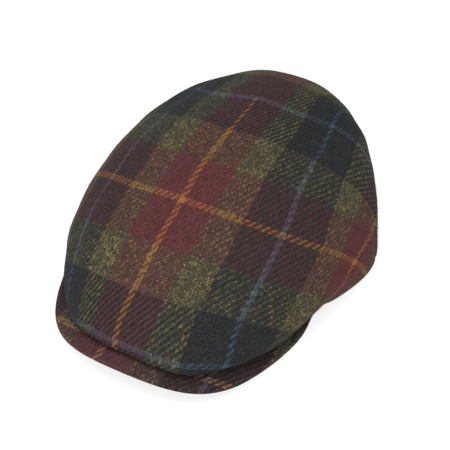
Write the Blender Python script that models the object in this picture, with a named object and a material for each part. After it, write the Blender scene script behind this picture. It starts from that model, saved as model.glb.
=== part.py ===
"""A tweed flat cap: a one-piece crown with a dart at each side, sewn down over a short stiffened peak.

The cap rests by itself on a surface. Metres, +Z up, the front faces -Y, and +X is the wearer's left.
The origin is at the middle of the cap's footprint, on the surface.
"""

from collections import namedtuple
from math import cos, degrees, hypot, pi, radians, sin

import bmesh
import bpy
import numpy as np

# The crown, measured from its middle, which is the highest point of the top
CROWN_FRONT = 0.1545
CROWN_BACK = 0.0978
CROWN_HALF_WIDTH = 0.0942
CROWN_HEIGHT = 0.0950
CLOTH = 0.0025

# The crown's front rolls under by this much. Towards the sides the roll opens into a plain wall,
# between these bearings, and a tuck of 1 turns all the way under.
ROLL_DEPTH = 0.011
TUCK_START = 28.0
TUCK_END = 52.0
SIDE_TUCK = 0.25

# The dart at each side, a seam that runs up from the rim
DART_BEARING = 98.0
DART_LENGTH = 0.060
DART_DEPTH = 0.0012
DART_WIDTH = 0.0065
DART_FADE = 0.5

# The peak, measured from the crown's middle like the crown. Its arch is this share of its width.
PEAK_FRONT = 0.1632
PEAK_THICKNESS = 0.0036
PEAK_ARCH = 0.0165
ARCH_SHARE = 0.95
ARCH_POWER = 1.25
PEAK_HORN_BEARING = 60.0
PEAK_HORN_THICKNESS = 0.0014
PEAK_HORN_TAPER = 16.0

# The space between two pieces that touch, and how the rim steps off the horns, in degrees
SEAT = 0.0003
HORN_CLEARANCE = 1.5
HORN_STEP = 6.0

# Steps of the meshes
COLUMN_STEP = 5
DOME_ROWS = 15
WALL_ROWS = 8
PEAK_ROWS = 6
EDGE_TURN = (60.0, 20.0, -20.0, -60.0)
FINE = 60
SHARP_ANGLE = 50.0

# One row for each bearing, in degrees from the front. The other side of the cap mirrors it.
# reach: widest line of the crown, as a share of the oval of the crown's three reaches
# fold: height of that widest line, as a share of the crown's height
# rim: reach of the rim, as a share of the widest line's
# round_off: how round the shoulder is, where 0.5 is an ellipse
# sag: how far the top falls below that curve half-way out
Section = namedtuple("Section", "bearing reach fold rim round_off sag")
SECTIONS = (
    Section(0, 1.000, 0.270, 0.694, 0.605, 0.00),
    Section(15, 1.045, 0.235, 0.705, 0.610, 0.01),
    Section(30, 1.050, 0.185, 0.770, 0.625, 0.03),
    Section(45, 1.050, 0.200, 0.842, 0.640, 0.03),
    Section(60, 1.015, 0.235, 0.902, 0.640, -0.03),
    Section(75, 1.008, 0.232, 0.956, 0.615, -0.18),
    Section(90, 1.000, 0.220, 1.006, 0.580, -0.38),
    Section(120, 0.925, 0.320, 0.990, 0.545, -0.66),
    Section(150, 0.950, 0.390, 0.955, 0.615, -0.38),
    Section(180, 1.000, 0.355, 0.930, 0.690, 0.02),
)

# One row for each bearing of the peak's outer edge, as a share of the peak's reach at the front
Edge = namedtuple("Edge", "bearing reach")
PEAK_EDGE = (
    Edge(0, 1.000),
    Edge(17, 0.976),
    Edge(34, 0.822),
    Edge(51, 0.650),
    Edge(60, 0.580),
)
PEAK_HALF_WIDTH = PEAK_FRONT * max(edge.reach * sin(radians(edge.bearing)) for edge in PEAK_EDGE)

TWEED = (0.115, 0.052, 0.045, 1.0)
TWEED_ROUGHNESS = 0.95


def clear_scene():
    for item in list(bpy.data.objects):
        bpy.data.objects.remove(item, do_unlink=True)


def tweed_material(name):
    material = bpy.data.materials.new(name)
    material.use_nodes = True
    shader = material.node_tree.nodes["Principled BSDF"]
    shader.inputs["Base Color"].default_value = TWEED
    shader.inputs["Roughness"].default_value = TWEED_ROUGHNESS
    shader.inputs["Metallic"].default_value = 0.0
    return material


def off_front(bearing):
    """Degrees from the front, to either side."""
    return abs((bearing + 180.0) % 360.0 - 180.0)


def mirrored_spline(rows, column):
    """A smooth function of the bearing through one column of a table, the same on both sides."""
    at = np.array([row.bearing for row in rows], float)
    value = np.array([getattr(row, column) for row in rows], float)
    step = np.diff(at)
    count = len(at)
    system = np.zeros((count, count))
    right = np.zeros(count)
    system[0, 0] = 1.0
    system[-1, -1] = 1.0
    for k in range(1, count - 1):
        system[k, k - 1] = 1.0 / step[k - 1]
        system[k, k] = 2.0 * (1.0 / step[k - 1] + 1.0 / step[k])
        system[k, k + 1] = 1.0 / step[k]
        before = (value[k] - value[k - 1]) / step[k - 1] ** 2
        after = (value[k + 1] - value[k]) / step[k] ** 2
        right[k] = 3.0 * (before + after)
    slope = np.linalg.solve(system, right)

    def read(bearing):
        away = off_front(bearing)
        k = min(int(np.searchsorted(at, away, side="right")) - 1, count - 2)
        t = (away - at[k]) / step[k]
        start = value[k] * (1.0 + 2.0 * t) * (1.0 - t) ** 2 + slope[k] * step[k] * t * (1.0 - t) ** 2
        end = value[k + 1] * (3.0 - 2.0 * t) * t ** 2 - slope[k + 1] * step[k] * t ** 2 * (1.0 - t)
        return start + end

    return read


crown_reach_share = mirrored_spline(SECTIONS, "reach")
crown_fold_share = mirrored_spline(SECTIONS, "fold")
crown_rim_share = mirrored_spline(SECTIONS, "rim")
crown_round_off = mirrored_spline(SECTIONS, "round_off")
crown_sag = mirrored_spline(SECTIONS, "sag")
peak_reach_share = mirrored_spline(PEAK_EDGE, "reach")


def crown_reach(bearing):
    """Distance from the middle to the crown's widest line."""
    turn = radians(bearing)
    along = CROWN_FRONT if cos(turn) > 0 else CROWN_BACK
    oval = 1.0 / hypot(sin(turn) / CROWN_HALF_WIDTH, cos(turn) / along)
    return oval * crown_reach_share(bearing)


def rim_reach(bearing):
    return crown_reach(bearing) * crown_rim_share(bearing)


def peak_reach(bearing):
    return PEAK_FRONT * peak_reach_share(bearing)


def blend(value):
    """0 below 0, 1 above 1, and a smooth rise between."""
    t = min(max(value, 0.0), 1.0)
    return t * t * (3.0 - 2.0 * t)


def place(bearing, reach, height):
    turn = radians(bearing)
    return np.array([reach * sin(turn), -reach * cos(turn), height])


def peak_bottom(bearing, reach):
    """Height of the peak's lower face: an arch across the cap, resting on its two sides."""
    across = reach * sin(radians(bearing)) / (ARCH_SHARE * PEAK_HALF_WIDTH)
    return PEAK_ARCH * max(1.0 - across ** 2, 0.0) ** ARCH_POWER


def peak_thickness(bearing):
    """The peak's board thins out towards its two horns."""
    thinning = blend((off_front(bearing) - PEAK_HORN_BEARING + PEAK_HORN_TAPER) / PEAK_HORN_TAPER)
    return PEAK_THICKNESS + (PEAK_HORN_THICKNESS - PEAK_THICKNESS) * thinning


def peak_top(bearing, reach):
    return peak_bottom(bearing, reach) + peak_thickness(bearing)


def rim_height(bearing):
    """The rim lies on the surface, and in front on the peak, whose horns it steps over."""
    over_horn = 1.0 - blend((off_front(bearing) - PEAK_HORN_BEARING - HORN_CLEARANCE) / HORN_STEP)
    return over_horn * (peak_top(bearing, rim_reach(bearing)) + SEAT)


def dome_profile(bearing):
    """Points from the middle of the top down to the widest line, as reach and height."""
    reach = crown_reach(bearing)
    fold = CROWN_HEIGHT * crown_fold_share(bearing)
    points = []
    for k in range(FINE + 1):
        out = sin(0.5 * pi * k / FINE)
        rise = (1.0 - out ** 2) ** crown_round_off(bearing) + crown_sag(bearing) * out ** 2 * (1.0 - out ** 2)
        points.append((reach * out, fold + (CROWN_HEIGHT - fold) * rise))
    return points


def wall_profile(bearing):
    """Points from the widest line to the rim: a short wall, or in front a roll turned under onto the peak."""
    reach = crown_reach(bearing)
    fold = CROWN_HEIGHT * crown_fold_share(bearing)
    inset = reach - rim_reach(bearing)
    roll = min(inset, ROLL_DEPTH)
    turned = reach - roll
    on_peak = inset > ROLL_DEPTH
    foot = peak_top(bearing, turned) + SEAT if on_peak else rim_height(bearing)
    tuck = 1.0 - (1.0 - SIDE_TUCK) * blend((off_front(bearing) - TUCK_START) / (TUCK_END - TUCK_START))
    bend = fold - tuck * (fold - foot)
    points = []
    for k in range(FINE + 1):
        t = k / FINE
        out = reach * (1.0 - t ** 2) + turned * t ** 2
        points.append((out, fold * (1.0 - t) ** 2 + 2.0 * bend * t * (1.0 - t) + foot * t ** 2))
    if on_peak:
        for k in range(1, FINE + 1):
            out = turned - (inset - roll) * k / FINE
            points.append((out, peak_top(bearing, out) + SEAT))
    return points


def spaced(points, count):
    """The same line as count equal steps."""
    line = np.array(points)
    run = np.concatenate([[0.0], np.cumsum(np.hypot(*np.diff(line, axis=0).T))])
    stops = np.linspace(0.0, run[-1], count + 1)
    return np.stack([np.interp(stops, run, line[:, 0]), np.interp(stops, run, line[:, 1])], axis=1)


def dart_pinch(bearing, left_to_rim):
    """How far the dart's seam draws the cloth in."""
    away = abs(off_front(bearing) - DART_BEARING)
    aside = radians(away) * CROWN_HALF_WIDTH / DART_WIDTH
    fade = blend((1.0 - left_to_rim / DART_LENGTH) / DART_FADE)
    return DART_DEPTH * np.exp(-aside ** 2) * fade


def stands_on_edge(bearing):
    """Whether the wall ends standing on its edge, and not lying on the peak."""
    return crown_reach(bearing) - rim_reach(bearing) <= ROLL_DEPTH


def crown_profiles(bearing):
    """The outer and inner lines of the shell at one bearing, from the middle of the top to the rim."""
    dome = spaced(dome_profile(bearing), DOME_ROWS)
    wall = spaced(wall_profile(bearing), WALL_ROWS)
    outer = np.concatenate([dome, wall[1:]])
    ahead = np.gradient(outer, axis=0)
    ahead[0] = (1.0, 0.0)
    normal = np.stack([ahead[:, 1], -ahead[:, 0]], axis=1)
    normal /= np.hypot(normal[:, 0], normal[:, 1])[:, None]
    if stands_on_edge(bearing):
        normal[-1] = (-1.0, 0.0)
    steps = np.hypot(*np.diff(outer, axis=0).T)
    left = np.concatenate([np.cumsum(steps[::-1])[::-1], [0.0]])
    pinch = np.array([dart_pinch(bearing, value) for value in left])
    outer = outer + normal * pinch[:, None]
    return outer, outer + normal * CLOTH


def crown_bearings():
    """Even columns, with three on each dart in place of the even ones there."""
    even = range(0, 360, COLUMN_STEP)
    half = degrees(DART_WIDTH / CROWN_HALF_WIDTH)
    darts = [side + turn for side in (DART_BEARING, 360.0 - DART_BEARING) for turn in (-half, 0.0, half)]
    return sorted([b for b in even if min(abs(b - dart) for dart in darts) > 0.5 * half] + darts)


def add_ring(bm, bearings, rows):
    return [bm.verts.new(place(b, reach, height)) for b, (reach, height) in zip(bearings, rows)]


def bridge(bm, first, second):
    """Quads between two rings, point by point."""
    count = len(first)
    for k in range(count):
        after = (k + 1) % count
        bm.faces.new((first[k], first[after], second[after], second[k]))


def fan(bm, tip, ring):
    count = len(ring)
    for k in range(count):
        bm.faces.new((tip, ring[k], ring[(k + 1) % count]))


def finish_mesh(bm, name, material):
    bmesh.ops.recalc_face_normals(bm, faces=bm.faces)
    mesh = bpy.data.meshes.new(name)
    bm.to_mesh(mesh)
    bm.free()
    mesh.materials.append(material)
    mesh.shade_smooth()
    mesh.set_sharp_from_angle(angle=radians(SHARP_ANGLE))
    piece = bpy.data.objects.new(name, mesh)
    bpy.context.scene.collection.objects.link(piece)
    return piece


def build_crown():
    """The one-piece top, down to the rim, as a shell of one cloth's thickness."""
    bearings = crown_bearings()
    profiles = [crown_profiles(b) for b in bearings]
    bm = bmesh.new()
    skins = []
    for side in range(2):
        lines = [profile[side] for profile in profiles]
        tip = bm.verts.new((0.0, 0.0, lines[0][0, 1]))
        rings = [add_ring(bm, bearings, [line[row] for line in lines]) for row in range(1, len(lines[0]))]
        fan(bm, tip, rings[0])
        for first, second in zip(rings, rings[1:]):
            bridge(bm, first, second)
        skins.append(rings)
    bridge(bm, skins[0][-1], skins[1][-1])
    return finish_mesh(bm, "crown", tweed_material("crown_tweed"))


def peak_section(bearing):
    """One slice of the peak, all the way round: out along the top, round the edge, back below."""
    inner = rim_reach(bearing) - CLOTH
    outer = peak_reach(bearing)
    half = 0.5 * peak_thickness(bearing)
    stops = [inner + (outer - half - inner) * k / PEAK_ROWS for k in range(PEAK_ROWS + 1)]
    section = [(reach, peak_top(bearing, reach)) for reach in stops]
    middle = peak_bottom(bearing, outer) + half
    for angle in EDGE_TURN:
        turn = radians(angle)
        section.append((outer - half + half * cos(turn), middle + half * sin(turn)))
    section += [(reach, peak_bottom(bearing, reach)) for reach in reversed(stops)]
    return section


def build_peak():
    """The stiffened peak: a crescent in front of the rim, arched across and lying on its two sides."""
    half = [b for b in range(0, int(PEAK_HORN_BEARING), COLUMN_STEP)] + [PEAK_HORN_BEARING]
    bearings = [-b for b in reversed(half[1:])] + half
    bm = bmesh.new()
    rings = [[bm.verts.new(place(b, *point)) for point in peak_section(b)] for b in bearings]
    for first, second in zip(rings, rings[1:]):
        bridge(bm, first, second)
    bm.faces.new(rings[0])
    bm.faces.new(reversed(rings[-1]))
    return finish_mesh(bm, "peak", tweed_material("peak_tweed"))


def centre_on_footprint(pieces):
    """Moves the meshes so that the origin is at the middle of the footprint, on the surface."""
    corners = np.array([vertex.co for piece in pieces for vertex in piece.data.vertices])
    low = corners.min(axis=0)
    high = corners.max(axis=0)
    shift = np.array([0.5 * (low[0] + high[0]), 0.5 * (low[1] + high[1]), low[2]])
    for piece in pieces:
        for vertex in piece.data.vertices:
            vertex.co = np.array(vertex.co) - shift


def main():
    clear_scene()
    centre_on_footprint([build_crown(), build_peak()])


main()
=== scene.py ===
"""A flat cap in tartan tweed, cut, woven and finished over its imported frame.

Metres, +Z up, the front faces -Y, and +X is the wearer's left.
"""

from collections import namedtuple
from math import atan2, cos, degrees, hypot, pi, radians, sin

import bpy
import numpy as np
from mathutils import Matrix, Vector


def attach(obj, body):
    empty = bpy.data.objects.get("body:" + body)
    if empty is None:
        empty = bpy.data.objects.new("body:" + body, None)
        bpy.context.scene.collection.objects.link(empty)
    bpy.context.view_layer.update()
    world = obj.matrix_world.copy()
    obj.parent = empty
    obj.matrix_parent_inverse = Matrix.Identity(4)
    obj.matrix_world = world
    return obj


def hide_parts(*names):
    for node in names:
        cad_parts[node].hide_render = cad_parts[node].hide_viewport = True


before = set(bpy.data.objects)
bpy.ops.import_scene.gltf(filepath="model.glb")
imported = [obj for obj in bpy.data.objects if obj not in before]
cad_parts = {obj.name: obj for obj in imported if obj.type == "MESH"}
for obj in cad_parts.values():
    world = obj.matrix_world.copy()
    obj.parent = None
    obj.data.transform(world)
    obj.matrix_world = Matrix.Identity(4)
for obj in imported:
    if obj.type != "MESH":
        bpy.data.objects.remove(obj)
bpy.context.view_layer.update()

# The crown, measured from its middle, which is the highest point of the top
CROWN_FRONT = 0.1545
CROWN_BACK = 0.0978
CROWN_HALF_WIDTH = 0.0942
CROWN_HEIGHT = 0.0950
CROWN_MIDDLE_Y = 0.0327
CLOTH = 0.0019

# The crown's wall reaches in by this much from its widest line, and by more at the sides. The change lies
# between these bearings.
ROLL_DEPTH = 0.0055
SIDE_ROLL_DEPTH = 0.0090
ROLL_START = 36.0
ROLL_END = 58.0

# In front the wall is a roll turned right under, which is a tuck of 1. Between these bearings it opens into
# the plainer wall of the sides.
TUCK_START = 12.0
TUCK_END = 46.0
SIDE_TUCK = 0.12

# The dart at each side, a seam that runs up from the rim
DART_BEARING = 96.0
DART_LENGTH = 0.060
DART_DIP = 0.0002
DART_DIP_WIDTH = 0.0080
DART_GROOVE = 0.0007
DART_GROOVE_WIDTH = 0.0012
DART_FADE = 0.35

# The peak, measured from the crown's middle like the crown. Its arch spans ARCH_SHARE of its width, and it
# reaches in under the crown's rim by PEAK_LAP. The crown lies on it with a gap of SEAT, and behind its horns
# steps down to the surface. That step starts HORN_CLEARANCE degrees from them and takes HORN_STEP degrees.
PEAK_FRONT = 0.1632
PEAK_THICKNESS = 0.0036
PEAK_ARCH = 0.0165
ARCH_SHARE = 0.95
ARCH_POWER = 1.25
PEAK_HORN_BEARING = 60.0
PEAK_HORN_THICKNESS = 0.0014
PEAK_HORN_TAPER = 16.0
PEAK_LAP = 0.0025
SEAT = 0.0003
HORN_CLEARANCE = 1.5
HORN_STEP = 6.0

# Steps of the cloth's meshes. The columns lie closer together at the darts. The rim is rounded by RIM_ROUND
# of the cloth's thickness.
HALF_GRID = 56
WALL_ROWS = 22
FINE = 120
DART_SQUEEZE = 0.7
PEAK_COLUMNS = 96
PEAK_ROWS = 22
PEAK_EDGE_STEPS = 8
RIM_ROUND = 0.35

# The tartan's sett, in threads. Both ways it runs from the middle of the orange stripe to the middle of the
# blue one, and back again. Each direction has its own number of threads in the two stripes.
CLOTH_MAP = "cloth"
WARP_PITCH = 0.00102
WEFT_PITCH = 0.00153
PITCH_RATIO = WEFT_PITCH / WARP_PITCH
SETT_HALF = 64.0
Stripes = namedtuple("Stripes", "orange blue")
WARP_STRIPES = Stripes(4, 3)
WEFT_STRIPES = Stripes(3, 3)

# The weave: a twill that repeats after TWILL threads, with slanted floats. The weft's lie WEFT_STEP threads
# aside of the warp's. A yarn's width is in threads. Its height is part wave and part roundness, and beside
# it falls by YARN_GAP. YARN_UNEVEN is how much its floats differ in brightness.
TWILL = 4.0
WEFT_STEP = 3.0
FLOAT_SLANT = 0.7
WARP_WIDTH = 0.96
WEFT_WIDTH = 0.82
YARN_WAVE = 0.58
YARN_GAP = 2.0
YARN_UNEVEN = 0.4
RELIEF = 0.00035
FIBRE_RELIEF = 0.5

# The noises: the scale of each, to a thread, and its detail
Noise = namedtuple("Noise", "scale detail")
WOBBLE_NOISE = Noise(1.1, 3.0)
FLECK_NOISE = Noise(1.0, 1.5)
HAZE_NOISE = Noise(1.6, 3.0)
FIBRE_NOISE = Noise(3.5, 4.0)

# How far the yarns wander, in threads. The two directions read the noise this far apart.
WOBBLE = 0.6
WOBBLE_APART = 20.0

# How fast the flecks change along a yarn, across it, and from one yarn to the next. The two directions draw
# their flecks and shades apart from each other.
FLECK_ALONG = 0.38
FLECK_BESIDE = 0.27
FLECK_LANE = 0.45
WARP_DRAW = 0.0
WEFT_DRAW = 0.5

# Felted wool hides the weave in places. Between two values of the haze, a share of the yarn below shows,
# once only where that is darker and once everywhere. The crevices between the yarns get painted shade:
# between two heights, a share of the light is left.
Range = namedtuple("Range", "start end at_start at_end")
DARK_VEIL = Range(0.62, 0.35, 0.1, 0.7)
LIGHT_VEIL = Range(0.5, 0.75, 0.02, 0.4)
CREVICE_PAINTED_SHADE = Range(-0.05, 0.95, 0.35, 1.0)

# The plate that is bent over the pins gives a little at each. TINY keeps its logarithm off nothing.
PLATE_GIVE = 0.0008
TINY = 1e-12

# Where the peak's cloth is cut: the middle of its orange stripe each way, how much its warp is eased, and
# how much its weft is curved, in 1/m, about PEAK_CURVE_X
PEAK_WARP_X = -0.0155
PEAK_WARP_EASE = 1.025
PEAK_WEFT_Y = -0.1165
PEAK_WEFT_CURVE = 2.6
PEAK_CURVE_X = -0.008

# Each piece's cloth is drawn this bright and this colourful. The peak's lower brightness is painted shade,
# and its colours are duller.
PaintedShadeAndSaturation = namedtuple("PaintedShadeAndSaturation", "brightness saturation")
CROWN_PAINTED_SHADE_AND_SATURATION = PaintedShadeAndSaturation(1.0, 1.0)
PEAK_PAINTED_SHADE_AND_SATURATION = PaintedShadeAndSaturation(0.85, 0.82)

# The wool's loose fibres: how many to a square metre, and the sizes of one. They tilt and are scaled between
# two limits, and are a little paler than the cloth. On the peak they start FUZZ_REACH inside the crown's
# widest line.
FUZZ = {"Density": 260000.0, "Length": 0.0022, "Width": 0.00011, "Bend": 0.0007, "Lift": 0.00012}
FUZZ_TILT = (-0.32, 0.05)
FUZZ_SCALE = (0.45, 1.3)
FUZZ_STEPS = 4
FUZZ_PALE = 0.14
FUZZ_WOOL = (128, 120, 108)
FUZZ_REACH = 0.006
CROWN_SEED = 1
PEAK_SEED = 2
SCALE_SEED = 1

# The finish of each surface, by the name of the shader's socket. The floor glows a little.
WOOL = {
    "Roughness": 0.92,
    "Specular IOR Level": 0.05,
    "Sheen Weight": 0.02,
    "Sheen Roughness": 0.4,
}
LOOSE_WOOL = {
    "Roughness": 0.9,
    "Specular IOR Level": 0.05,
}
PALE_FLOOR = {
    "Base Color": (0.3, 0.3, 0.3, 1.0),
    "Roughness": 0.9,
    "Specular IOR Level": 0.1,
    "Emission Color": (1.0, 1.0, 1.0, 1.0),
    "Emission Strength": 0.78,
}

# The camera of the photograph
CAMERA_AZIMUTH = 29.2
CAMERA_ELEVATION = 47.5
CAMERA_DISTANCE = 1.4
CAMERA_TARGET = (0.0, 0.0262, 0.04)
FOCAL_PIXELS = 2128.0
TARGET_PIXEL = (239.6, 182.5)
IMAGE_SIZE = 450.0
CAMERA_CLIP = 100.0

# The floor, the sky's brightness by the height of a direction, and the lamps
FLOOR_SIZE = 40.0
Glow = namedtuple("Glow", "height brightness")
SKY = (Glow(0.0, 1.7), Glow(0.16, 1.7), Glow(0.3, 0.5), Glow(0.6, 0.5), Glow(1.0, 0.69))
Lamp = namedtuple("Lamp", "name place size power")
LAMPS = (
    Lamp("overhead_light", (-0.3, -0.3, 2.4), 2.0, 50.0),
    Lamp("front_card", (0.75, -1.35, 0.35), 1.2, 11.0),
)

# One row for each bearing, in degrees from the front. The other side of the cap mirrors it.
# reach: widest line of the crown, as a share of the oval of the crown's three reaches
# fold: height of that widest line, as a share of the crown's height
# rim: reach of the rim, as a share of the widest line's
# round_off: how round the shoulder is, where 0.5 is an ellipse
# sag: how far the top stands above that curve half-way out, or sags under it where this is negative
Section = namedtuple("Section", "bearing reach fold rim round_off sag")
SECTIONS = (
    Section(0, 1.000, 0.270, 0.694, 0.605, 0.00),
    Section(15, 1.045, 0.235, 0.705, 0.610, 0.01),
    Section(30, 1.036, 0.200, 0.770, 0.625, 0.03),
    Section(45, 1.024, 0.218, 0.850, 0.640, 0.03),
    Section(60, 1.008, 0.240, 0.905, 0.640, -0.03),
    Section(75, 1.008, 0.232, 0.956, 0.615, -0.18),
    Section(90, 1.000, 0.220, 1.006, 0.580, -0.38),
    Section(120, 0.925, 0.320, 0.990, 0.545, -0.66),
    Section(150, 0.950, 0.390, 0.955, 0.615, -0.38),
    Section(180, 1.000, 0.355, 0.930, 0.690, 0.02),
)

# One row for each bearing of the peak's outer edge, as a share of the peak's reach at the front
Edge = namedtuple("Edge", "bearing reach")
PEAK_EDGE = (
    Edge(0, 1.000),
    Edge(17, 0.976),
    Edge(34, 0.822),
    Edge(51, 0.6525),
    Edge(60, 0.577),
)
PEAK_HALF_WIDTH = PEAK_FRONT * max(edge.reach * sin(radians(edge.bearing)) for edge in PEAK_EDGE)

# A soft cap never lies quite evenly: how far each side of it swells out, in metres, one row for a bearing
Swell = namedtuple("Swell", "bearing crown peak")
SWELLS = (
    Swell(-165, -0.0003, 0.0),
    Swell(-140, 0.0005, 0.0),
    Swell(-121, 0.001, 0.0),
    Swell(-105, 0.0006, 0.0),
    Swell(-88, -0.0018, 0.0),
    Swell(-70, 0.0008, 0.0),
    Swell(-54, 0.0024, -0.0014),
    Swell(-40, 0.0028, -0.0008),
    Swell(-28, 0.0004, 0.0016),
    Swell(-12, 0.0, 0.0015),
    Swell(2, 0.0, 0.0022),
    Swell(12, 0.0, -0.0004),
    Swell(23, 0.0, 0.0029),
    Swell(37, 0.0, -0.0019),
    Swell(55, 0.0003, 0.0),
    Swell(78, 0.0013, 0.0),
    Swell(90, 0.0011, 0.0),
    Swell(103, -0.0002, 0.0),
    Swell(118, -0.0017, 0.0),
    Swell(135, -0.0014, 0.0),
    Swell(146, -0.0026, 0.0),
    Swell(155, -0.0008, 0.0),
    Swell(173, -0.001, 0.0),
)

# To either side a row's swell spreads by this, in degrees
SWELL_SPREAD = 11.0

# The cloth's slow waves: the height of each, how many there are to a metre across and back, and where it
# starts. FLAT_HEM from the rim they begin, and over RIPPLE_FADE they rise.
Ripple = namedtuple("Ripple", "height across back start")
RIPPLES = (
    Ripple(0.00035, 17.0, 9.0, 0.3),
    Ripple(0.00030, -12.0, 21.0, 1.9),
    Ripple(0.00020, 31.0, -17.0, 4.1),
)
FLAT_HEM = 0.015
RIPPLE_FADE = 0.03

# Where the tartan lies on the crown. A pin is a place on the crown, as the length of cloth to it from the
# middle of the top, split into metres across and back, and the number of the thread that passes there.
# Threads 0 and 128 are the middle of an orange stripe and 64 of a blue one, and the bands change at 22, 42,
# 86 and 106. The other side of 0 mirrors this.
Pin = namedtuple("Pin", "across back thread")
WARP_PINS = (
    Pin(0.000, 0.110, 0),
    Pin(-0.002, 0.010, 0),
    Pin(-0.005, -0.040, 0),
    Pin(-0.004, -0.085, 0),
    Pin(-0.006, -0.140, 0),
    Pin(-0.008, -0.173, 0),
    Pin(0.041, 0.072, 64),
    Pin(0.053, 0.002, 64),
    Pin(0.0565, -0.0285, 64),
    Pin(0.062, -0.062, 64),
    Pin(0.0645, -0.110, 64),
    Pin(0.0662, -0.136, 64),
    Pin(0.070, -0.151, 64),
    Pin(-0.068, 0.010, -64),
    Pin(-0.066, -0.034, -64),
    Pin(-0.0665, -0.060, -64),
    Pin(-0.0705, -0.095, -64),
    Pin(-0.070, -0.120, -64),
    Pin(-0.0645, -0.148, -64),
    Pin(0.0733, 0.030, 86),
    Pin(0.080, -0.009, 86),
    Pin(0.0879, -0.041, 86),
    Pin(0.0913, -0.077, 86),
    Pin(0.0936, -0.118, 86),
    Pin(0.0953, 0.009, 106),
    Pin(0.1008, -0.019, 106),
    Pin(0.1068, -0.046, 106),
    Pin(0.1118, -0.076, 106),
    Pin(0.117, 0.001, 128),
    Pin(0.1205, -0.038, 128),
    Pin(-0.126, -0.010, -128),
    Pin(-0.128, -0.050, -128),
)
WEFT_PINS = (
    Pin(-0.090, -0.061, 0),
    Pin(-0.041, -0.073, 0),
    Pin(0.000, -0.074, 0),
    Pin(0.035, -0.069, 0),
    Pin(0.069, -0.058, 0),
    Pin(0.097, -0.043, 0),
    Pin(0.122, -0.028, 0),
    Pin(-0.070, 0.045, 64),
    Pin(-0.035, 0.023, 64),
    Pin(0.000, 0.021, 64),
    Pin(0.020, 0.029, 64),
    Pin(0.046, 0.049, 64),
    Pin(0.072, 0.060, 64),
    Pin(0.086, 0.056, 64),
    Pin(0.0327, -0.0036, 42),
    Pin(0.0505, 0.0044, 42),
    Pin(0.0743, 0.0142, 42),
    Pin(-0.050, -0.172, -64),
    Pin(-0.010, -0.1755, -64),
    Pin(0.044, -0.170, -64),
    Pin(0.069, -0.159, -64),
    Pin(0.000, 0.115, 128),
)

# The wedge of cloth that each dart takes out: its width at the rim, in weft threads, and how far round the
# cloth beside it moves to close it, in degrees
DART_WEDGE = 26.0
WEDGE_EASE_FRONT = 50.0
WEDGE_EASE_BACK = 75.0


def dye(red, green, blue):
    """A colour as seen on a screen, 0 to 255, as linear light."""
    seen = np.array([red, green, blue]) / 255.0
    return (*np.where(seen > 0.04045, ((seen + 0.055) / 1.055) ** 2.4, seen / 12.92), 1.0)


# The thread that each band of the sett starts at, its dye, and how much of it is flecked
Band = namedtuple("Band", "start colour flecked")
BANDS = (
    Band(0.0, dye(90, 47, 52), 0.09),
    Band(22.0, dye(70, 65, 51), 0.8),
    Band(42.0, dye(37, 40, 43), 0.06),
)
ORANGE = dye(165, 101, 52)
BLUE = dye(62, 81, 106)
STRIPE_FLECKED = 0.1

# The weft threads at which the middle orange stripe narrows, and ends
ORANGE_NARROWS = 44.0
ORANGE_END = 64.5

# The wools spun into a flecked yarn, each with the value of the noise that it starts at
Fleck = namedtuple("Fleck", "start colour")
FLECKS = (
    Fleck(0.0, dye(123, 118, 79)),
    Fleck(0.38, dye(52, 56, 47)),
    Fleck(0.44, dye(95, 69, 54)),
    Fleck(0.48, dye(84, 95, 81)),
    Fleck(0.52, dye(53, 48, 42)),
    Fleck(0.60, dye(128, 115, 69)),
)


def off_front(bearing):
    """Degrees from the front, to either side."""
    return np.abs((np.asarray(bearing, float) + 180.0) % 360.0 - 180.0)


def mirrored_spline(rows, column):
    """A smooth function of the bearing through one column of a table, the same on both sides."""
    at = np.array([row.bearing for row in rows], float)
    value = np.array([getattr(row, column) for row in rows], float)
    step = np.diff(at)
    stiffness = 1.0 / step
    count = len(at)
    system = np.zeros((count, count))
    right = np.zeros(count)
    system[0, 0] = 1.0
    system[-1, -1] = 1.0
    for k in range(1, count - 1):
        system[k, k - 1 : k + 2] = (stiffness[k - 1], 2.0 * (stiffness[k - 1] + stiffness[k]), stiffness[k])
        before = (value[k] - value[k - 1]) / step[k - 1] ** 2
        after = (value[k + 1] - value[k]) / step[k] ** 2
        right[k] = 3.0 * (before + after)
    slope = np.linalg.solve(system, right)

    def read(bearing):
        away = off_front(bearing)
        k = np.minimum(np.searchsorted(at, away, side="right") - 1, count - 2)
        t = (away - at[k]) / step[k]
        start = value[k] * (1.0 + 2.0 * t) * (1.0 - t) ** 2 + slope[k] * step[k] * t * (1.0 - t) ** 2
        end = value[k + 1] * (3.0 - 2.0 * t) * t**2 - slope[k + 1] * step[k] * t**2 * (1.0 - t)
        return start + end

    return read


crown_reach_share = mirrored_spline(SECTIONS, "reach")
crown_fold_share = mirrored_spline(SECTIONS, "fold")
crown_rim_share = mirrored_spline(SECTIONS, "rim")
crown_round_off = mirrored_spline(SECTIONS, "round_off")
crown_sag = mirrored_spline(SECTIONS, "sag")
peak_reach_share = mirrored_spline(PEAK_EDGE, "reach")


def blend(value):
    """0 below 0, 1 above 1, and a smooth rise between."""
    t = np.clip(value, 0.0, 1.0)
    return t * t * (3.0 - 2.0 * t)


def swell(bearing, column):
    """How far the cap bulges at one bearing, blended from the rows beside it."""
    apart = [off_front(bearing - row.bearing) / SWELL_SPREAD for row in SWELLS]
    weights = [float(np.exp(-(a**2))) for a in apart]
    return sum(w * getattr(row, column) for w, row in zip(weights, SWELLS)) / sum(weights)


def crown_reach(bearing):
    """Distance from the middle to the crown's widest line."""
    turn = radians(bearing)
    along = CROWN_FRONT if cos(turn) > 0 else CROWN_BACK
    oval = 1.0 / hypot(sin(turn) / CROWN_HALF_WIDTH, cos(turn) / along)
    return oval * crown_reach_share(bearing) + swell(bearing, "crown")


def rim_reach(bearing):
    """Distance from the middle to the crown's rim."""
    return crown_reach(bearing) * crown_rim_share(bearing)


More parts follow.
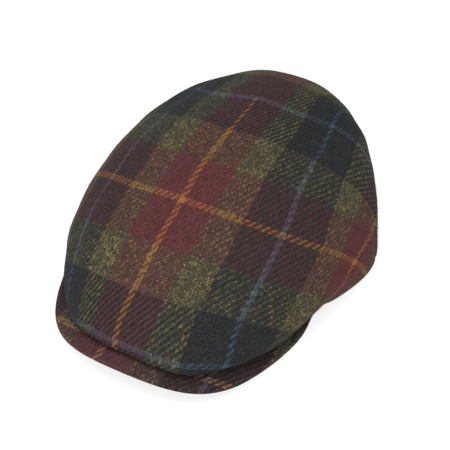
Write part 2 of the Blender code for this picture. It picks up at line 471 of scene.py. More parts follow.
def peak_reach(bearing):
    """Distance from the crown's middle to the peak's outer edge."""
    return PEAK_FRONT * peak_reach_share(bearing) + swell(bearing, "peak")


def peak_bottom(bearing, reach):
    """Height of the peak's lower face: an arch across the cap, resting on its two sides."""
    across = reach * sin(radians(bearing)) / (ARCH_SHARE * PEAK_HALF_WIDTH)
    return PEAK_ARCH * np.maximum(1.0 - across**2, 0.0) ** ARCH_POWER


def peak_thickness(bearing):
    """The peak's board thins out towards its two horns."""
    thinning = blend((off_front(bearing) - PEAK_HORN_BEARING + PEAK_HORN_TAPER) / PEAK_HORN_TAPER)
    return PEAK_THICKNESS + (PEAK_HORN_THICKNESS - PEAK_THICKNESS) * thinning


def peak_top(bearing, reach):
    """Height of the peak's upper face."""
    return peak_bottom(bearing, reach) + peak_thickness(bearing)


def seat_height(bearing, reach):
    """What the crown lies on: the surface, and in front the peak, whose horns it steps over."""
    over_horn = 1.0 - blend((off_front(bearing) - PEAK_HORN_BEARING - HORN_CLEARANCE) / HORN_STEP)
    return over_horn * (peak_top(bearing, reach) + SEAT)


def place(bearing, reach, height):
    """A point of the cap, from its bearing and its distance about the crown's middle."""
    turn = radians(bearing)
    return (reach * sin(turn), CROWN_MIDDLE_Y - reach * cos(turn), height)


def dome_line(bearing):
    """Points from the middle of the top down to the widest line, as reach and height."""
    reach = crown_reach(bearing)
    fold = CROWN_HEIGHT * crown_fold_share(bearing)
    out = np.sin(0.5 * pi * np.arange(FINE + 1) / FINE)
    rise = (1.0 - out**2) ** crown_round_off(bearing) + crown_sag(bearing) * out**2 * (1.0 - out**2)
    return np.stack([reach * out, fold + (CROWN_HEIGHT - fold) * rise], axis=1)


def roll_depth(bearing):
    """How far in from the widest line the wall reaches what it stands on."""
    side = blend((off_front(bearing) - ROLL_START) / (ROLL_END - ROLL_START))
    return ROLL_DEPTH + (SIDE_ROLL_DEPTH - ROLL_DEPTH) * side


def wall_line(bearing):
    """Points from the widest line to the rim: a short wall, or in front a roll turned under on the peak."""
    reach = crown_reach(bearing)
    fold = CROWN_HEIGHT * crown_fold_share(bearing)
    inset = reach - rim_reach(bearing)
    roll = roll_depth(bearing)
    turned = reach - min(inset, roll)
    foot = seat_height(bearing, turned)
    tuck = 1.0 - (1.0 - SIDE_TUCK) * blend((off_front(bearing) - TUCK_START) / (TUCK_END - TUCK_START))
    bend = fold - tuck * (fold - foot)
    t = np.linspace(0.0, 1.0, FINE + 1)
    out = reach * (1.0 - t**2) + turned * t**2
    height = fold * (1.0 - t) ** 2 + 2.0 * bend * t * (1.0 - t) + foot * t**2
    line = np.stack([out, height], axis=1)
    if inset > roll:
        under = np.linspace(turned, reach - inset, FINE + 1)[1:]
        line = np.concatenate([line, np.stack([under, seat_height(bearing, under)], axis=1)])
    return line


def spaced(line, count):
    """The same line as count equal steps."""
    run = np.concatenate([[0.0], np.cumsum(np.hypot(*np.diff(line, axis=0).T))])
    stops = np.linspace(0.0, run[-1], count + 1)
    return np.stack([np.interp(stops, run, line[:, 0]), np.interp(stops, run, line[:, 1])], axis=1)


def dart_pinch(bearing, left_to_rim):
    """How far the dart's seam draws the cloth in: a groove along the stitches in a shallow dip."""
    aside = radians(abs(off_front(bearing) - DART_BEARING)) * CROWN_HALF_WIDTH
    fade = blend((1.0 - left_to_rim / DART_LENGTH) / DART_FADE)
    dip = DART_DIP * np.exp(-((aside / DART_DIP_WIDTH) ** 2))
    return (dip + DART_GROOVE * np.exp(-((aside / DART_GROOVE_WIDTH) ** 2))) * fade


def ripple(bearing, run, left_to_rim):
    """The slow waves of a steamed cloth, which end before the rim."""
    across, back = run * sin(radians(bearing)), -run * cos(radians(bearing))
    waves = 0.0
    for wave in RIPPLES:
        turns = wave.across * across + wave.back * back
        waves = waves + wave.height * np.sin(2.0 * pi * turns + wave.start)
    return waves * blend((left_to_rim - FLAT_HEM) / RIPPLE_FADE)


def crown_line(bearing):
    """The crown's outer line at one bearing, from the middle of the top to the rim, rippled and pinched.

    Gives the length of cloth left to the rim, too.
    """
    dome = spaced(dome_line(bearing), HALF_GRID)
    wall = spaced(wall_line(bearing), WALL_ROWS)
    outer = np.concatenate([dome, wall[1:]])
    ahead = np.gradient(outer, axis=0)
    ahead[0] = (1.0, 0.0)
    normal = np.stack([ahead[:, 1], -ahead[:, 0]], axis=1)
    normal /= np.hypot(normal[:, 0], normal[:, 1])[:, None]
    steps = np.hypot(*np.diff(outer, axis=0).T)
    left = np.concatenate([np.cumsum(steps[::-1])[::-1], [0.0]])
    lift = ripple(bearing, left[0] - left, left) - dart_pinch(bearing, left)
    return outer - normal * lift[:, None], left


def column_bearing(turn):
    """The bearing at a share of the way round, with a quarter turn at the dart and columns closer there."""
    quarter, part = divmod(4.0 * (turn % 1.0), 1.0)
    ends = (0.0, DART_BEARING, 180.0, 360.0 - DART_BEARING, 360.0)
    towards_dart = quarter in (0, 2)
    x = part if towards_dart else 1.0 - part
    x = x + DART_SQUEEZE / pi * sin(pi * x)
    x = x if towards_dart else 1.0 - x
    return ends[int(quarter)] + (ends[int(quarter) + 1] - ends[int(quarter)]) * x


def ring_turn(i, j):
    """How far round its ring a grid point lies, i across and j back, from the front towards +X."""
    ring = max(abs(i), abs(j))
    if ring == 0:
        return 0.0
    if j == -ring and i >= 0:
        along = i
    elif i == ring:
        along = 2 * ring + j
    elif j == ring:
        along = 4 * ring - i
    elif i == -ring:
        along = 6 * ring - j
    else:
        along = 8 * ring + i
    return along / (8.0 * ring)


def smooth_normals(points, faces):
    """The area-weighted normal at each point of a mesh of quads."""
    corner = points[faces]
    face_normal = np.cross(corner[:, 2] - corner[:, 0], corner[:, 3] - corner[:, 1])
    normal = np.zeros_like(points)
    for k in range(4):
        np.add.at(normal, faces[:, k], face_normal)
    return normal / np.linalg.norm(normal, axis=1)[:, None]


# One sewn face of cloth: for each point its place, its bearing, and the length of cloth from the middle and
# to the rim. Edge is the ring of points at the rim.
Face = namedtuple("Face", "points quads bearing run left edge")


def crown_face():
    """The crown's outer face: a square grid over the top, which has no pole, and rows down the wall."""
    size = HALF_GRID
    cells = [(i, j) for i in range(-size, size + 1) for j in range(-size, size + 1)]
    number = {cell: k for k, cell in enumerate(cells)}
    bearings = [column_bearing(ring_turn(*cell)) for cell in cells]
    rows = [max(abs(i), abs(j)) for i, j in cells]
    quads = [
        (number[i, j], number[i + 1, j], number[i + 1, j + 1], number[i, j + 1])
        for i in range(-size, size)
        for j in range(-size, size)
    ]
    widest = [cell for cell, row in zip(cells, rows) if row == size]
    above = [number[cell] for cell in sorted(widest, key=lambda cell: ring_turn(*cell))]
    wall_bearings = [bearings[k] for k in above]
    for row in range(size + 1, size + WALL_ROWS + 1):
        below = [len(bearings) + k for k in range(len(above))]
        bearings += wall_bearings
        rows += [row] * len(above)
        quads += [(above[k - 1], below[k - 1], below[k], above[k]) for k in range(len(above))]
        above = below
    bearings = np.array(bearings)
    rows = np.array(rows)
    points = np.empty((len(rows), 3))
    run = np.empty(len(rows))
    left = np.empty(len(rows))
    for bearing in np.unique(bearings):
        line, line_left = crown_line(bearing)
        here = bearings == bearing
        points[here] = np.stack(place(bearing, line[rows[here], 0], line[rows[here], 1]), axis=1)
        run[here] = line_left[0] - line_left[rows[here]]
        left[here] = line_left[rows[here]]
    return Face(points, np.array(quads), bearings, run, left, np.array(above))


def wedge_shift(bearing, left, behind):
    """How far the closed dart puts out the count of the weft threads: down ahead of it, and up behind it."""
    width = DART_WEDGE * np.clip(1.0 - left / DART_LENGTH, 0.0, 1.0)
    past = off_front(bearing) - DART_BEARING
    ahead_share = blend(1.0 + past / WEDGE_EASE_FRONT)
    behind_share = blend(1.0 - past / WEDGE_EASE_BACK)
    return 0.5 * width * np.where(behind, behind_share, -ahead_share)


def thin_plate(pins, values):
    """A smooth function of the place through a value at each pin, as a plate bends over its supports."""
    at = np.array([(pin.across, pin.back) for pin in pins]) / CROWN_HEIGHT
    count = len(at)

    def bending(place_from):
        apart = np.square(place_from[:, None] - at).sum(axis=-1)
        return apart * np.log(apart + TINY)

    # Under the plate lies a plane, whose height and two slopes are the last three rows
    system = np.zeros((count + 3, count + 3))
    system[:count, :count] = bending(at) + PLATE_GIVE * np.eye(count)
    system[:count, count] = 1.0
    system[:count, count + 1 :] = at
    system[count:, :count] = system[:count, count:].T
    weight = np.linalg.solve(system, np.concatenate([values, np.zeros(3)]))

    def read(across, back):
        spot = np.stack([across, back], axis=-1) / CROWN_HEIGHT
        return bending(spot) @ weight[:count] + weight[count] + spot @ weight[count + 1 :]

    return read


def crown_threads(face):
    """The warp and weft thread at each point of the crown, ahead of the darts and behind them."""
    turn = np.radians(face.bearing)
    across, back = face.run * np.sin(turn), -face.run * np.cos(turn)
    warp = thin_plate(WARP_PINS, np.array([pin.thread for pin in WARP_PINS], float))(across, back)
    values = []
    for pin in WEFT_PINS:
        bearing = degrees(atan2(pin.across, -pin.back))
        whole = crown_line(bearing)[1][0]
        left = whole - hypot(pin.across, pin.back)
        values.append(pin.thread - wedge_shift(bearing, left, off_front(bearing) > DART_BEARING))
    weft = thin_plate(WEFT_PINS, np.array(values))(across, back)
    ahead, behind = (weft + wedge_shift(face.bearing, face.left, side) for side in (False, True))
    return np.stack([warp, ahead], axis=-1), np.stack([warp, behind], axis=-1)


def stands_on_edge(bearing):
    """Whether the wall ends standing on its edge, and not lying on the peak."""
    return crown_reach(bearing) - rim_reach(bearing) <= roll_depth(bearing)


def make_piece(name, points, quads, weave, material):
    """An object of quads, with the cloth's own coordinates as its UV map, one pair for each corner."""
    mesh = bpy.data.meshes.new(name)
    mesh.from_pydata(points.tolist(), [], quads.tolist())
    layer = mesh.uv_layers.new(name=CLOTH_MAP)
    layer.uv.foreach_set("vector", np.asarray(weave, np.float32).ravel())
    mesh.materials.append(material)
    mesh.shade_smooth()
    mesh.validate()
    piece = bpy.data.objects.new(name, mesh)
    bpy.context.scene.collection.objects.link(piece)
    return piece


def make_crown(material, fuzz_material):
    """The one-piece top as one cloth's thickness, open below, with a rounded rim."""
    face = crown_face()
    count = len(face.points)
    normal = smooth_normals(face.points, face.quads)
    if normal[0, 2] < 0.0:
        raise ValueError("the crown's face points inwards")
    for k in face.edge[[stands_on_edge(bearing) for bearing in face.bearing[face.edge]]]:
        normal[k, 2] = 0.0
        normal[k] /= np.linalg.norm(normal[k])
    inner = face.points - normal * CLOTH
    ahead, behind = crown_threads(face)

    # The rim's two edges are drawn up a little from its middle, which rounds it
    up = face.points[face.edge - len(face.edge)] - face.points[face.edge]
    up /= np.linalg.norm(up, axis=1)[:, None]
    middle = 0.5 * (face.points[face.edge] + inner[face.edge])
    outer = face.points.copy()
    outer[face.edge] += up * CLOTH * RIM_ROUND
    inner[face.edge] += up * CLOTH * RIM_ROUND
    points = np.concatenate([outer, inner, middle])

    ring = np.arange(len(face.edge))
    after = np.roll(ring, -1)
    lower = 2 * count + ring
    outer_rim = np.stack([face.edge, lower, 2 * count + after, face.edge[after]], axis=1)
    inner_rim = np.stack([lower, count + face.edge, count + face.edge[after], 2 * count + after], axis=1)
    quads = np.concatenate([face.quads, face.quads[:, ::-1] + count, outer_rim, inner_rim])

    # Each corner takes the threads of its own side of the dart, so that the pattern breaks at the seam
    bearing = np.concatenate([face.bearing, face.bearing, face.bearing[face.edge]])
    away = off_front(bearing)[quads].mean(axis=1)
    ahead, behind = (np.concatenate([threads, threads, threads[face.edge]]) for threads in (ahead, behind))
    weave = np.where((away > DART_BEARING)[:, None, None], behind[quads], ahead[quads])
    crown = make_piece("crown_cloth", points, quads, weave, material)
    top = slice(len(face.quads))
    return crown, make_fuzz("crown_fuzz", face.points, quads[top], weave[top], fuzz_material, CROWN_SEED)


def peak_section(bearing):
    """One slice of the peak, all the way round: out along the top, round the edge and back below."""
    inner = rim_reach(bearing) - PEAK_LAP
    outer = peak_reach(bearing)
    half = 0.5 * peak_thickness(bearing)
    stops = np.linspace(inner, outer - half, PEAK_ROWS + 1)
    turn = np.linspace(0.5 * pi, -0.5 * pi, PEAK_EDGE_STEPS + 1)[1:-1]
    middle = peak_bottom(bearing, outer) + half
    top = np.stack([stops, peak_top(bearing, stops)], axis=1)
    edge = np.stack([outer - half + half * np.cos(turn), middle + half * np.sin(turn)], axis=1)
    below = np.stack([stops, peak_bottom(bearing, stops)], axis=1)[::-1]
    return np.concatenate([top, edge, below])


def peak_threads(points):
    """The warp and weft thread at each point of the peak, whose weft is steamed into a slight curve."""
    across, back = points[:, 0], points[:, 1]
    warp = (across - PEAK_WARP_X) / (WARP_PITCH * PEAK_WARP_EASE)
    weft = (back - PEAK_WEFT_Y - PEAK_WEFT_CURVE * np.square(across - PEAK_CURVE_X)) / WEFT_PITCH
    return np.stack([warp, weft], axis=1)


def make_peak(material, fuzz_material):
    """The stiffened peak: a crescent covered in the same cloth, arched and lying on its two sides."""
    bearings = np.linspace(-PEAK_HORN_BEARING, PEAK_HORN_BEARING, PEAK_COLUMNS + 1)
    slices = [peak_section(bearing) for bearing in bearings]
    per = len(slices[0])
    points = np.concatenate([np.stack(place(b, *s.T), axis=1) for b, s in zip(bearings, slices)])
    quads = []
    for column in range(PEAK_COLUMNS):
        for k in range(per):
            after = (k + 1) % per
            first, second = column * per, (column + 1) * per
            quads.append((first + k, second + k, second + after, first + after))
    for start in (0, PEAK_COLUMNS * per):
        for k in range(per // 2 - 1):
            near, far = start + k, start + per - 1 - k
            quads.append((near, near + 1, far - 1, far) if start == 0 else (near, far, far - 1, near + 1))
    quads = np.array(quads)
    weave = peak_threads(points)[quads]
    peak = make_piece("peak_cloth", points, quads, weave, material)

    # Fibres stand only where the crown leaves the peak free, on its top and round its edge
    free = np.repeat([[crown_reach(b) - FUZZ_REACH] for b in bearings], per)
    out = np.hypot(points[:, 0], points[:, 1] - CROWN_MIDDLE_Y) > free
    upper = np.tile(np.arange(per) < PEAK_ROWS + PEAK_EDGE_STEPS, len(bearings))
    shown = (out & upper)[quads].all(axis=1)
    return peak, make_fuzz("peak_fuzz", points, quads[shown], weave[shown], fuzz_material, PEAK_SEED)


class Recipe:
    """Short words for writing a node tree."""

    def __init__(self, tree):
        self.tree = tree

    def node(self, kind, **settings):
        """A new node with its settings."""
        node = self.tree.nodes.new(kind)
        for name, value in settings.items():
            setattr(node, name, value)
        return node

    def feed(self, socket, value):
        """Links another node's output to a socket, or sets a plain value on it."""
        if isinstance(value, bpy.types.NodeSocket):
            self.tree.links.new(value, socket)
        else:
            socket.default_value = value

    def math(self, operation, *values):
        node = self.node("ShaderNodeMath", operation=operation)
        for socket, value in zip(node.inputs, values):
            self.feed(socket, value)
        return node.outputs[0]

    def pair(self, x, y, z=0.0):
        """A vector of two numbers, or of three."""
        node = self.node("ShaderNodeCombineXYZ")
        for socket, value in zip(node.inputs, (x, y, z)):
            self.feed(socket, value)
        return node.outputs[0]

    def mix(self, factor, first, second, blend_type="MIX"):
        """Two colours mixed. Inputs 6 and 7 and output 2 are the node's colours."""
        node = self.node("ShaderNodeMix", data_type="RGBA", blend_type=blend_type)
        self.feed(node.inputs["Factor"], factor)
        self.feed(node.inputs[6], first)
        self.feed(node.inputs[7], second)
        return node.outputs[2]

    def ramp(self, value, stops, interpolation="CONSTANT"):
        """The colour at a value, from rows of a position and a colour."""
        node = self.node("ShaderNodeValToRGB")
        ramp = node.color_ramp
        ramp.interpolation = interpolation
        ramp.elements[0].position, ramp.elements[0].color = stops[0]
        ramp.elements[1].position, ramp.elements[1].color = stops[-1]
        for position, colour in stops[1:-1]:
            ramp.elements.new(position).color = colour
        self.feed(node.inputs[0], value)
        return node.outputs[0]

    def stretch(self, value, low, high, to_low, to_high):
        """The value, drawn from one range to another and held inside it."""
        node = self.node("ShaderNodeMapRange", interpolation_type="SMOOTHSTEP")
        self.feed(node.inputs[0], value)
        for socket, number in zip(node.inputs[1:5], (low, high, to_low, to_high)):
            self.feed(socket, number)
        return node.outputs[0]

    def chance(self, vector):
        """A random number for each cell."""
        node = self.node("ShaderNodeTexWhiteNoise", noise_dimensions="3D")
        self.feed(node.inputs["Vector"], vector)
        return node.outputs["Value"]

    def noise(self, vector, scale, detail):
        """Soft noise at a place, from 0 to 1."""
        node = self.node("ShaderNodeTexNoise")
        self.feed(node.inputs["Vector"], vector)
        node.inputs["Scale"].default_value = scale
        node.inputs["Detail"].default_value = detail
        return node.outputs[0]


def slanted(r, thread, beside):
    """The yarn's number, drawn towards the point's own place across the yarns, which tilts its floats."""
    middle = r.math("ADD", thread, 0.5)
    return r.math("ADD", thread, r.math("MULTIPLY", r.math("SUBTRACT", beside, middle), FLOAT_SLANT))


def yarn(r, thread, beside, float_place, width):
    """One yarn of the twill at a point of the cloth.

    Thread is its number, beside the point's place across the yarns and float_place its place along the
    yarn, with 0 at the middle of a float. Gives its height and the number of its float.
    """
    off = r.math("SUBTRACT", beside, r.math("ADD", thread, 0.5))
    beyond = r.math("DIVIDE", r.math("MULTIPLY", 2.0, off), width)
    squared = r.math("MULTIPLY", beyond, beyond)
    roundness = r.math("SQRT", r.math("MAXIMUM", r.math("SUBTRACT", 1.0, squared), 0.0))
    outside = r.math("GREATER_THAN", squared, 1.0)
    wave = r.math("COSINE", r.math("MULTIPLY", float_place, 2.0 * pi / TWILL))
    roundness = r.math("MULTIPLY", roundness, 1.0 - YARN_WAVE)
    height = r.math("ADD", r.math("MULTIPLY", wave, YARN_WAVE), roundness)
    height = r.math("SUBTRACT", height, r.math("MULTIPLY", outside, YARN_GAP))
    number = r.math("FLOOR", r.math("DIVIDE", r.math("ADD", float_place, 0.5 * TWILL), TWILL))
    return height, number


def orange_width(r, warp, along):
    """The share of an orange warp stripe's threads that is woven in.

    The middle stripe loses half of them on the way back, and ends at the blue stripe across it.
    """
    narrowed = r.math("GREATER_THAN", along, ORANGE_NARROWS)
    ended = r.math("GREATER_THAN", along, ORANGE_END)
    middle = r.math("LESS_THAN", r.math("ABSOLUTE", warp), SETT_HALF)
    lost = r.math("MULTIPLY", r.math("ADD", narrowed, ended), middle)
    return r.math("SUBTRACT", 1.0, r.math("MULTIPLY", lost, 0.5))


def sett(r, thread, stripes, orange):
    """The dye of one yarn and how much of it is flecked.

    Stripes holds the two stripes' threads, and orange the share of the orange ones that is woven in.
    """
    spot = r.math("DIVIDE", r.math("PINGPONG", thread, SETT_HALF), SETT_HALF)
    colour = r.ramp(spot, [(band.start / SETT_HALF, band.colour) for band in BANDS])
    flecked = r.ramp(spot, [(band.start / SETT_HALF, (band.flecked,) * 3 + (1.0,)) for band in BANDS])

    # A stripe of an odd number of threads is centred on one, and one of an even number between two
    for count, middle, stripe, width in zip(stripes, (0.0, SETT_HALF), (ORANGE, BLUE), (orange, 1.0)):
        between = 0.0 if count % 2 else 0.5
        off = r.math("PINGPONG", r.math("ADD", thread, middle + between), SETT_HALF)
        inside = r.math("LESS_THAN", off, r.math("MULTIPLY", width, 0.5 * count))
        colour = r.mix(inside, colour, stripe)
        flecked = r.mix(inside, flecked, (STRIPE_FLECKED,) * 3 + (1.0,))
    return colour, flecked


def wool_colour(r, thread, number, along, beside, draw, stripes, orange):
    """The heathered colour of one yarn: its dye, with flecks of other wools spun in."""
    colour, amount = sett(r, thread, stripes, orange)
    lane = r.math("MULTIPLY", r.math("ADD", thread, draw), FLECK_LANE)
    spun = r.pair(r.math("MULTIPLY", along, FLECK_ALONG), r.math("MULTIPLY", beside, FLECK_BESIDE), lane)
    flecks = r.ramp(r.noise(spun, *FLECK_NOISE), FLECKS)
    colour = r.mix(amount, colour, flecks)
    chance = r.chance(r.pair(thread, number, draw))
    shade = r.math("ADD", 1.0 - 0.5 * YARN_UNEVEN, r.math("MULTIPLY", chance, YARN_UNEVEN))
    return r.mix(1.0, colour, r.pair(shade, shade, shade), "MULTIPLY")


def wobble(r, apart, direction):
    """How far hand and steam have pushed the yarns aside at a place, in threads."""
    along = r.math("MULTIPLY", apart.outputs[1], PITCH_RATIO)
    push = r.noise(r.pair(apart.outputs[0], along, WOBBLE_APART * direction), *WOBBLE_NOISE)
    return r.math("MULTIPLY", r.math("SUBTRACT", push, 0.5), WOBBLE)


def tweed_group():
    """The woven pattern: from a place in the cloth, in threads, to the colour and height of the yarn. Its
    colour carries painted shade in the crevices between the yarns.
    """
    tree = bpy.data.node_groups.new("tartan_tweed", "ShaderNodeTree")
    tree.interface.new_socket("Place", in_out="INPUT", socket_type="NodeSocketVector")
    tree.interface.new_socket("Colour", in_out="OUTPUT", socket_type="NodeSocketColor")
    tree.interface.new_socket("Height", in_out="OUTPUT", socket_type="NodeSocketFloat")
    r = Recipe(tree)
    ends = r.node("NodeGroupInput")
    apart = r.node("ShaderNodeSeparateXYZ")
    r.feed(apart.inputs[0], ends.outputs["Place"])
    across, along = (r.math("ADD", apart.outputs[k], wobble(r, apart, k)) for k in (0, 1))
    warp = r.math("FLOOR", across)
    weft = r.math("FLOOR", along)

    warp_place = r.math("SUBTRACT", along, slanted(r, warp, across))
    weft_place = r.math("SUBTRACT", r.math("SUBTRACT", across, slanted(r, weft, along)), WEFT_STEP)
    warp_height, warp_float = yarn(r, warp, across, warp_place, WARP_WIDTH)
    weft_height, weft_float = yarn(r, weft, along, weft_place, WEFT_WIDTH)
    orange = orange_width(r, warp, along)
    warp_colour = wool_colour(r, warp, warp_float, along, across, WARP_DRAW, WARP_STRIPES, orange)
    weft_colour = wool_colour(r, weft, weft_float, across, along, WEFT_DRAW, WEFT_STRIPES, 1.0)

    weft_up = r.math("GREATER_THAN", weft_height, warp_height)
    height = r.math("MAXIMUM", weft_height, warp_height)
    colour = r.mix(weft_up, warp_colour, weft_colour)
    under = r.mix(weft_up, weft_colour, warp_colour)
    spot = r.pair(across, r.math("MULTIPLY", along, PITCH_RATIO))
    haze = r.noise(spot, *HAZE_NOISE)
    colour = r.mix(r.stretch(haze, *DARK_VEIL), colour, under, "DARKEN")
    colour = r.mix(r.stretch(haze, *LIGHT_VEIL), colour, under)
    # Painted shade in the crevices: the lower a point lies in the weave, the darker its colour
    shade = r.stretch(height, *CREVICE_PAINTED_SHADE)
    colour = r.mix(1.0, colour, r.pair(shade, shade, shade), "MULTIPLY")
    fibres = r.noise(spot, *FIBRE_NOISE)
    height = r.math("ADD", height, r.math("MULTIPLY", fibres, FIBRE_RELIEF))

    result = r.node("NodeGroupOutput")
    r.feed(result.inputs["Colour"], colour)
    r.feed(result.inputs["Height"], height)
    return tree


def woven_at_place(r, group):
    """The woven pattern, read from the cloth's own coordinates."""
    where = r.node("ShaderNodeAttribute", attribute_name=CLOTH_MAP)
    woven = r.node("ShaderNodeGroup")
    woven.node_tree = group
    r.feed(woven.inputs["Place"], where.outputs["Vector"])
    return woven.outputs


def give_finish(shader, finish):
    """Sets the shader's own sockets, by name."""
    for name, value in finish.items():
        shader.inputs[name].default_value = value


def tweed(name, group, painted_shade_and_saturation):
    """Wool tweed as it is on one piece, with that piece's painted shade and saturation."""
    material = bpy.data.materials.new(name)
    material.use_nodes = True
    r = Recipe(material.node_tree)
    woven = woven_at_place(r, group)
    relief = r.node("ShaderNodeBump")
    relief.inputs["Distance"].default_value = RELIEF
    r.feed(relief.inputs["Height"], woven["Height"])
    # Painted shade: the piece's brightness darkens its cloth, and its saturation dulls the colours
    shaded_and_desaturated = r.node("ShaderNodeHueSaturation")
    shaded_and_desaturated.inputs["Saturation"].default_value = painted_shade_and_saturation.saturation
    shaded_and_desaturated.inputs["Value"].default_value = painted_shade_and_saturation.brightness
    r.feed(shaded_and_desaturated.inputs["Color"], woven["Colour"])
    wool = material.node_tree.nodes["Principled BSDF"]
    r.feed(wool.inputs["Base Color"], shaded_and_desaturated.outputs[0])
    r.feed(wool.inputs["Normal"], relief.outputs[0])
    give_finish(wool, WOOL)
    return material


def fuzz_wool(name, group):
    """A loose fibre takes the colour of the yarn at its root, with the painted crevice shade there, a little
    paler.
    """
    material = bpy.data.materials.new(name)
    material.use_nodes = True
    r = Recipe(material.node_tree)
    woven = woven_at_place(r, group)
    wool = material.node_tree.nodes["Principled BSDF"]
    r.feed(wool.inputs["Base Color"], r.mix(FUZZ_PALE, woven["Colour"], dye(*FUZZ_WOOL)))
    give_finish(wool, LOOSE_WOOL)
    return material


def fuzz_tree(material, seed):
    """Scatters short bent fibres over a cloth's face. Each keeps the numbers of the threads at its root."""
    tree = bpy.data.node_groups.new("wool_fuzz", "GeometryNodeTree")
    tree.interface.new_socket("Geometry", in_out="INPUT", socket_type="NodeSocketGeometry")
    tree.interface.new_socket("Geometry", in_out="OUTPUT", socket_type="NodeSocketGeometry")
    for name in FUZZ:
        tree.interface.new_socket(name, in_out="INPUT", socket_type="NodeSocketFloat")
    r = Recipe(tree)
    given = r.node("NodeGroupInput").outputs
    roots = r.node("GeometryNodeDistributePointsOnFaces")
    r.feed(roots.inputs["Mesh"], given["Geometry"])
    r.feed(roots.inputs["Density"], given["Density"])
    roots.inputs["Seed"].default_value = seed

    strip = r.node("GeometryNodeMeshGrid")
    r.feed(strip.inputs["Size X"], given["Length"])
    r.feed(strip.inputs["Size Y"], given["Width"])
    strip.inputs["Vertices X"].default_value = FUZZ_STEPS
    strip.inputs["Vertices Y"].default_value = 2
    apart = r.node("ShaderNodeSeparateXYZ")
    r.feed(apart.inputs[0], r.node("GeometryNodeInputPosition").outputs[0])
    share = r.math("ADD", r.math("DIVIDE", apart.outputs[0], given["Length"]), 0.5)
    aside = r.math("MULTIPLY", r.math("MULTIPLY", share, share), given["Bend"])
    fibre = r.node("GeometryNodeSetPosition")
    r.feed(fibre.inputs["Geometry"], strip.outputs["Mesh"])
    along = r.math("MULTIPLY", share, given["Length"])
    above = r.math("ADD", r.math("MULTIPLY", share, given["Lift"]), given["Lift"])
    r.feed(fibre.inputs["Position"], r.pair(along, r.math("ADD", apart.outputs[1], aside), above))

    # A random node's inputs 0 and 1 and output 0 are vectors, and its inputs 2 and 3 and output 1 numbers
    spin = r.node("FunctionNodeRandomValue", data_type="FLOAT_VECTOR")
    spin.inputs[0].default_value = (0.0, FUZZ_TILT[0], 0.0)
    spin.inputs[1].default_value = (0.0, FUZZ_TILT[1], 2.0 * pi)
    turned = r.node("FunctionNodeRotateRotation", rotation_space="LOCAL")
    r.feed(turned.inputs[0], roots.outputs["Rotation"])
    r.feed(turned.inputs[1], spin.outputs[0])
    size = r.node("FunctionNodeRandomValue", data_type="FLOAT")
    size.inputs[2].default_value, size.inputs[3].default_value = FUZZ_SCALE
    size.inputs["Seed"].default_value = SCALE_SEED
    scattered = r.node("GeometryNodeInstanceOnPoints")
    r.feed(scattered.inputs["Points"], roots.outputs["Points"])
    r.feed(scattered.inputs["Instance"], fibre.outputs[0])
    r.feed(scattered.inputs["Rotation"], turned.outputs[0])
    r.feed(scattered.inputs["Scale"], size.outputs[1])
    real = r.node("GeometryNodeRealizeInstances")
    r.feed(real.inputs[0], scattered.outputs[0])
    painted = r.node("GeometryNodeSetMaterial")
    r.feed(painted.inputs["Geometry"], real.outputs[0])
    painted.inputs["Material"].default_value = material
    r.feed(r.node("NodeGroupOutput").inputs[0], painted.outputs[0])
    return tree


def grown(piece, tree, sizes):
    """The plain mesh that a tree of Geometry Nodes makes of a piece."""
    scatter = piece.modifiers.new(tree.name, "NODES")
    scatter.node_group = tree
    for socket in tree.interface.items_tree:
        if socket.name in sizes:
            scatter[socket.identifier] = sizes[socket.name]
    graph = bpy.context.evaluated_depsgraph_get()
    mesh = bpy.data.meshes.new_from_object(piece.evaluated_get(graph), depsgraph=graph)
    piece.modifiers.clear()
    return mesh


def map_from_roots(mesh):
    """Turns the threads at each fibre's root, kept on its points, into the mesh's own UV map."""
    roots = np.empty(2 * len(mesh.vertices), np.float32)
    mesh.attributes[CLOTH_MAP].data.foreach_get("vector", roots)
    corners = np.empty(len(mesh.loops), np.int32)
    mesh.loops.foreach_get("vertex_index", corners)
    mesh.attributes.remove(mesh.attributes[CLOTH_MAP])
    layer = mesh.uv_layers.new(name=CLOTH_MAP)
    layer.uv.foreach_set("vector", roots.reshape(-1, 2)[corners].ravel())


def lay_on_surface(mesh):
    """Lays flat what would reach below the surface that the cap lies on."""
    places = np.empty(3 * len(mesh.vertices), np.float32)
    mesh.vertices.foreach_get("co", places)
    places[2::3] = np.maximum(places[2::3], 0.0)
    mesh.vertices.foreach_set("co", places)


def make_fuzz(name, points, quads, weave, material, seed):
    """The loose fibres that stand off one face of the cloth."""
    fuzz = make_piece(name, points, quads, weave, material)
    fuzz.data = grown(fuzz, fuzz_tree(material, seed), FUZZ)
    map_from_roots(fuzz.data)
    lay_on_surface(fuzz.data)
    return fuzz


def make_floor():
    """A pale floor, out to the horizon. Its glow keeps it white around the cap."""
    mesh = bpy.data.meshes.new("floor")
    half = FLOOR_SIZE / 2.0
    corners = [(-half, -half, 0.0), (half, -half, 0.0), (half, half, 0.0), (-half, half, 0.0)]
    mesh.from_pydata(corners, [], [(0, 1, 2, 3)])
    floor = bpy.data.objects.new("floor", mesh)
    bpy.context.scene.collection.objects.link(floor)
    material = bpy.data.materials.new("pale_floor")
    material.use_nodes = True
    give_finish(material.node_tree.nodes["Principled BSDF"], PALE_FLOOR)
    mesh.materials.append(material)


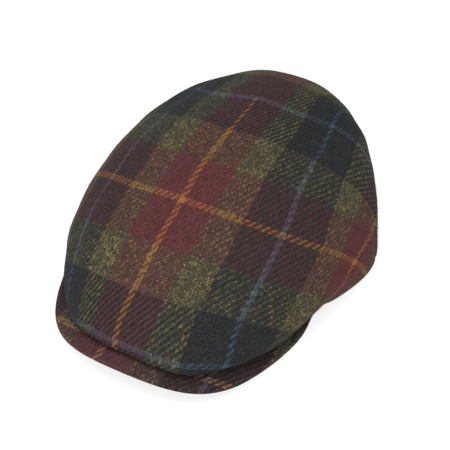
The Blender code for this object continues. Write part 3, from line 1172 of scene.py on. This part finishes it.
def make_light():
    """A wide soft lamp overhead, a weak one low in front, and a pale sky all round."""
    world = bpy.data.worlds.new("pale_sky")
    bpy.context.scene.world = world
    world.use_nodes = True
    r = Recipe(world.node_tree)
    direction = r.node("ShaderNodeTexCoord").outputs["Generated"]
    apart = r.node("ShaderNodeSeparateXYZ")
    r.feed(apart.inputs[0], direction)
    bright = r.ramp(apart.outputs[2], [(height, (glow, glow, glow, 1.0)) for height, glow in SKY], "LINEAR")
    r.feed(world.node_tree.nodes["Background"].inputs["Color"], bright)
    for lamp in LAMPS:
        light = bpy.data.lights.new(lamp.name, "AREA")
        light.shape = "DISK"
        light.size = lamp.size
        light.energy = lamp.power
        holder = bpy.data.objects.new(lamp.name, light)
        holder.location = lamp.place
        holder.rotation_euler = Vector(lamp.place).to_track_quat("Z", "Y").to_euler()
        bpy.context.scene.collection.objects.link(holder)


def make_camera():
    """The photograph's view. The lens has no shift, so the camera turns a little to frame the cap."""
    azimuth, elevation = radians(CAMERA_AZIMUTH), radians(CAMERA_ELEVATION)
    back = Vector((sin(azimuth) * cos(elevation), -cos(azimuth) * cos(elevation), sin(elevation)))
    right = Vector((cos(azimuth), sin(azimuth), 0.0))
    up = back.cross(right)
    aside = TARGET_PIXEL[0] - 0.5 * IMAGE_SIZE
    above = 0.5 * IMAGE_SIZE - TARGET_PIXEL[1]
    axis = -back * FOCAL_PIXELS - right * aside - up * above
    camera = bpy.data.cameras.new("camera")
    camera.lens = FOCAL_PIXELS * camera.sensor_width / IMAGE_SIZE
    camera.clip_end = CAMERA_CLIP
    holder = bpy.data.objects.new("camera", camera)
    z = -axis.normalized()
    x = (right - z * right.dot(z)).normalized()
    turned = Matrix((x, z.cross(x), z)).transposed()
    spot = Vector(CAMERA_TARGET) + back * CAMERA_DISTANCE
    holder.matrix_world = Matrix.Translation(spot) @ turned.to_4x4()
    bpy.context.scene.collection.objects.link(holder)
    bpy.context.scene.camera = holder


def main():
    bpy.context.scene.view_settings.view_transform = "Standard"
    make_camera()
    make_light()
    make_floor()
    group = tweed_group()
    for node, make, painted_shade_and_saturation in (("crown", make_crown, CROWN_PAINTED_SHADE_AND_SATURATION), ("peak", make_peak, PEAK_PAINTED_SHADE_AND_SATURATION)):
        piece, fuzz = make(tweed(node + "_tweed", group, painted_shade_and_saturation), fuzz_wool(node + "_fuzz_wool", group))
        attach(piece, "root")
        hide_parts(node)
        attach(fuzz, "root")


main()
